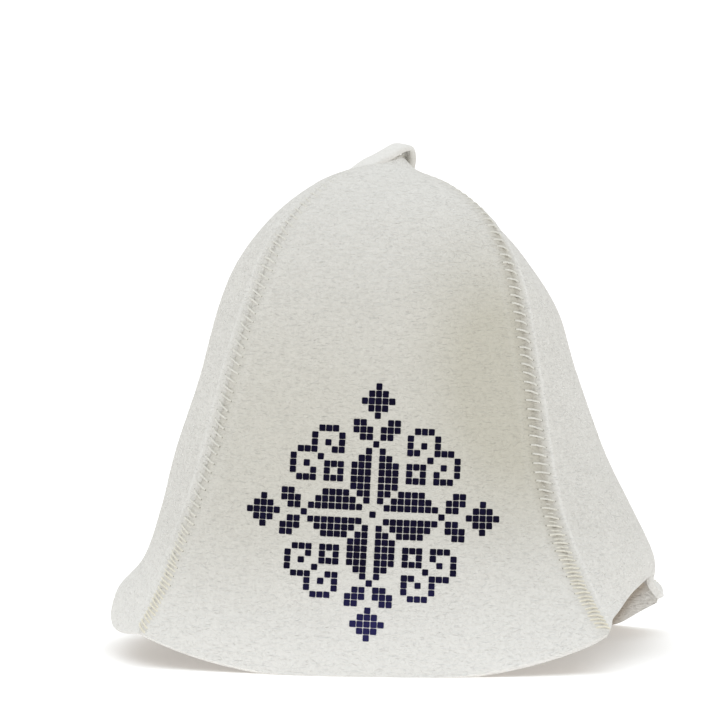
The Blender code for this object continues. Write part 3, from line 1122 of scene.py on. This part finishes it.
def rosette_cells():
    """The rosette's cells to the right and up, from its chart turned and mirrored to all eight sides."""
    cells = set()
    for run in ROSETTE:
        for right in range(run.first, run.last + 1):
            for first, second in ((right, run.up), (run.up, right)):
                for side in (1, -1):
                    for rise in (1, -1):
                        cells.add((first * side, second * rise))
    return sorted(cells)


def seam_lines():
    """Each seam's name, the gores before and after it, its line from over the hem up and its outward way."""
    for name, gore in GORES.items():
        before = [other for other, row in GORES.items() if row.last == gore.first][0]
        line = skin_column(name, 0.0, SEAM_ROWS)
        ways = []
        for side, near in ((name, 0.02), (before, 0.98)):
            beside = skin_column(side, near, SEAM_ROWS)
            step = (beside - line) * (1 if side == name else -1)
            ways.append(unit(np.cross(step, np.gradient(line, axis=0))))
        outward = unit(ways[0] + ways[1])
        yield gore.first, before, name, line[SEAM_START:], outward[SEAM_START:]


def loop_mesh():
    """The hanging loop: a rounded felt strip swept along its arch, with its feet in the crown's seams."""
    places = np.linspace(0, len(LOOP) - 1, LOOP_STEPS + 1)
    along = spline([bend.along for bend in LOOP], places)
    height = spline([bend.height for bend in LOOP], places)
    tilt = spline([bend.rise for bend in LOOP], places)
    run = np.stack([np.gradient(along), np.gradient(height)], -1)
    run /= np.linalg.norm(run, axis=1)[:, None]
    turn = math.radians(LOOP_TURN)
    points = []
    for spot, level, rise, (ahead, climb) in zip(along, height, tilt, run):
        for step in range(LOOP_SIDES):
            angle = 2 * math.pi * step / LOOP_SIDES
            wide = LOOP_WIDTH / 2 * math.copysign(abs(math.cos(angle)) ** WIDE_POWER, math.cos(angle))
            deep = LOOP_THICK / 2 * math.copysign(abs(math.sin(angle)) ** DEEP_POWER, math.sin(angle))
            reach = spot - climb * deep
            points.append(
                (
                    LOOP_X + AXIS_X + reach * math.cos(turn) - wide * math.sin(turn),
                    AXIS_Y + reach * math.sin(turn) + wide * math.cos(turn),
                    level + ahead * deep + wide * rise,
                )
            )
    points = np.array(points)
    index = np.arange(len(points)).reshape(LOOP_STEPS + 1, LOOP_SIDES)
    after = np.roll(index, -1, 1)
    faces = np.stack([index[:-1], index[1:], after[1:], after[:-1]], -1).reshape(-1, 4).tolist()
    faces += [index[0].tolist(), index[-1][::-1].tolist()]
    mesh = bpy.data.meshes.new("hanging_loop_felt")
    mesh.from_pydata((points * MM).tolist(), [], faces)
    # The strip's inner side lies in shade where it bends down past the top of its arch, so the seam colour
    # is painted there as shade.
    under = 1 - ramp(np.sin(2 * math.pi * np.arange(LOOP_SIDES) / LOOP_SIDES), 0.2, 0.8)
    float_attribute(mesh, "seam", 0.8 * ramp(places, 4.9, 5.6)[:, None] * under)
    mesh.shade_smooth()
    return mesh


class SAUNAHAT_OT_gores(bpy.types.Operator):
    """Make the four felt gores"""

    bl_idname = "sauna_hat.gores"
    bl_label = "Felt gores"

    def execute(self, context):
        settings = context.scene.sauna_hat
        material = felt_material(settings)
        for name in GORES:
            mesh = shell_mesh(name + "_felt", *gore_surfaces(name, settings))
            obj = new_object(name + "_felt", mesh)
            obj.data.materials.append(material)
            finish_piece(obj, "felt", name + "_gore")
        return {"FINISHED"}


class SAUNAHAT_OT_seams(bpy.types.Operator):
    """Sew the four seams with thread"""

    bl_idname = "sauna_hat.seams"
    bl_label = "Stitched seams"

    def execute(self, context):
        seam = context.scene.sauna_hat.seam
        thread = thread_material(context.scene.sauna_hat)
        tree, identifiers = stitch_tree(thread, hole_material())
        for number, (name, before, after, line, out) in enumerate(seam_lines()):
            mesh = bpy.data.meshes.new(name + "_seam")
            edges = [(step, step + 1) for step in range(len(line) - 1)]
            mesh.from_pydata((line * MM).tolist(), edges, [])
            vector_attribute(mesh, "out", out)
            obj = new_object(name + "_seam", mesh)
            values = {
                "Before": bpy.data.objects[before + "_felt"], "After": bpy.data.objects[after + "_felt"],
                "Pitch": seam.pitch, "Width": seam.width, "Slope": SEAMS[name].slope * MM,
                "Thread": seam.thread, "Hole": seam.hole, "Seed": seam.seed + number,
            }
            run_tree(obj, tree, identifiers, values)
            finish_piece(obj, "felt")
        return {"FINISHED"}


class SAUNAHAT_OT_rosette(bpy.types.Operator):
    """Print the rosette on the front gore"""

    bl_idname = "sauna_hat.rosette"
    bl_label = "Printed rosette"

    def execute(self, context):
        rosette = context.scene.sauna_hat.rosette
        start = Vector((AXIS_X * MM + rosette.across, CELLS_START, rosette.height))
        row = Vector((math.cos(rosette.tilt), 0, -math.sin(rosette.tilt))) * rosette.pitch
        column = Vector((math.sin(rosette.lean), 0, math.cos(rosette.lean))) * rosette.rise
        cells = rosette_cells()
        points = [start + row * right + column * up * (1 + rosette.growth / 2 * up) for right, up in cells]
        mesh = bpy.data.meshes.new("rosette")
        mesh.from_pydata(points, [], [])
        float_attribute(mesh, "tall", [1 + rosette.growth * up for right, up in cells])
        obj = new_object("rosette", mesh)
        tree, identifiers = rosette_tree(ink_material(context.scene.sauna_hat))
        values = {
            "Felt": bpy.data.objects["front_felt"], "Cell": rosette.cell, "Tilt": rosette.tilt,
            "Proud": rosette.proud, "Seed": rosette.seed,
        }
        run_tree(obj, tree, identifiers, values)
        finish_piece(obj, "felt")
        return {"FINISHED"}


class SAUNAHAT_OT_loop(bpy.types.Operator):
    """Make the hanging loop"""

    bl_idname = "sauna_hat.loop"
    bl_label = "Hanging loop"

    def execute(self, context):
        obj = new_object("hanging_loop_felt", loop_mesh())
        # Painted light: the loop's felt is paled half way to the pale colour.
        material = felt_material(context.scene.sauna_hat, "loop_felt", painted_light=0.5, strength=0.5)
        obj.data.materials.append(material)
        finish_piece(obj, "loop_felt", "hanging_loop")
        return {"FINISHED"}


class SAUNAHAT_OT_stage(bpy.types.Operator):
    """Set the floor, the light and the camera"""

    bl_idname = "sauna_hat.stage"
    bl_label = "Stage"

    def execute(self, context):
        stage = context.scene.sauna_hat.stage
        half = stage.floor / 2
        mesh = bpy.data.meshes.new("floor")
        corners = [(-half, -half, 0), (half, -half, 0), (half, half, 0), (-half, half, 0)]
        mesh.from_pydata(corners, [], [(0, 1, 2, 3)])
        floor = new_object("floor", mesh)
        material, tree, shader, place = new_material("pale_floor")
        paper = mixed(tree, cloud(tree, place, 0.5), (0.93, 0.93, 0.93, 1), (0.95, 0.95, 0.95, 1))
        values = {
            "Base Color": paper, "Roughness": 0.9, "Emission Color": (1, 0.98, 0.95, 1),
            "Emission Strength": stage.table,
        }
        set_inputs(tree, shader, values)
        floor.data.materials.append(material)
        self.light(context.scene, stage)
        self.camera(context.scene)
        return {"FINISHED"}

    def light(self, scene, stage):
        """Soft light from above and from the left, and a white surround."""
        for name, energy, colour, towards, softness in (
            ("above", stage.above, (0.80, 0.90, 1.0), (0.0, 0.0, 1.0), 90),
            ("left", stage.side, (0.88, 0.95, 1.0), (-0.95, 0.25, 0.3), 45),
        ):
            sun = bpy.data.lights.new(name, "SUN")
            sun.energy = energy
            sun.color = colour
            sun.angle = math.radians(softness)
            lamp = bpy.data.objects.new(name, sun)
            lamp.rotation_euler = Vector(towards).to_track_quat("Z", "Y").to_euler()
            scene.collection.objects.link(lamp)
        world = bpy.data.worlds.new("surround")
        world.use_nodes = True
        tree = world.node_tree
        tree.nodes.clear()
        values = {"Color": (1, 0.97, 0.92, 1), "Strength": stage.fill}
        fill = output(tree, "ShaderNodeBackground", values)
        white = output(tree, "ShaderNodeBackground", {"Color": (1, 1, 1, 1), "Strength": 1.2})
        seen = node(tree, "ShaderNodeLightPath").outputs["Is Camera Ray"]
        mix = output(tree, "ShaderNodeMixShader", {0: seen, 1: fill, 2: white})
        node(tree, "ShaderNodeOutputWorld", {"Surface": mix})
        scene.world = world
        scene.view_settings.view_transform = "Standard"

    def camera(self, scene):
        """The camera, turned so that the bell's axis falls on its pixel."""
        data = bpy.data.cameras.new("camera")
        data.sensor_width = SENSOR
        focal = VIEW_DISTANCE / (MM_PER_PIXEL * MM)
        data.lens = focal / FRAME_SIDE * SENSOR
        data.clip_start = 0.05
        data.clip_end = 200
        camera = bpy.data.objects.new("camera", data)
        down = math.radians(VIEW_DOWN)
        target = Vector((AXIS_X * MM, AXIS_Y * MM, AXIS_POINT_HEIGHT))
        back = Vector((0, -math.cos(down), math.sin(down)))
        camera.location = target + back * VIEW_DISTANCE
        aim = (-back).to_track_quat("-Z", "Y")
        right = AXIS_PIXEL[0] - FRAME_SIDE / 2
        low = AXIS_PIXEL[1] - FRAME_SIDE / 2
        turn = Vector((right, -low, -focal)).rotation_difference(Vector((0, 0, -1)))
        camera.rotation_mode = "QUATERNION"
        camera.rotation_quaternion = aim @ turn
        scene.collection.objects.link(camera)
        scene.camera = camera


class SAUNAHAT_PT_panel(bpy.types.Panel):
    """Lists the hat's pieces and settings in the sidebar"""

    bl_label = "Felt Sauna Hat"
    bl_space_type = "VIEW_3D"
    bl_region_type = "UI"
    bl_category = "Sauna Hat"

    def draw(self, context):
        settings = context.scene.sauna_hat
        for operator in OPERATORS:
            self.layout.operator(operator.bl_idname)
        for group in (settings.felt, settings.seam, settings.rosette, settings.stage):
            box = self.layout.box()
            for key in group.bl_rna.properties.keys():
                if key not in ("rna_type", "name"):
                    box.prop(group, key)


OPERATORS = (
    SAUNAHAT_OT_stage,
    SAUNAHAT_OT_gores,
    SAUNAHAT_OT_seams,
    SAUNAHAT_OT_rosette,
    SAUNAHAT_OT_loop,
)
CLASSES = (
    FeltSettings,
    SeamSettings,
    RosetteSettings,
    StageSettings,
    HatSettings,
    *OPERATORS,
    SAUNAHAT_PT_panel,
)


def register():
    for cls in CLASSES:
        bpy.utils.register_class(cls)
    bpy.types.Scene.sauna_hat = PointerProperty(type=HatSettings)


def unregister():
    del bpy.types.Scene.sauna_hat
    for cls in reversed(CLASSES):
        bpy.utils.unregister_class(cls)


def main():
    register()
    bpy.ops.sauna_hat.stage()
    bpy.ops.sauna_hat.gores()
    bpy.ops.sauna_hat.seams()
    bpy.ops.sauna_hat.rosette()
    bpy.ops.sauna_hat.loop()


if __name__ == "__main__":
    main()
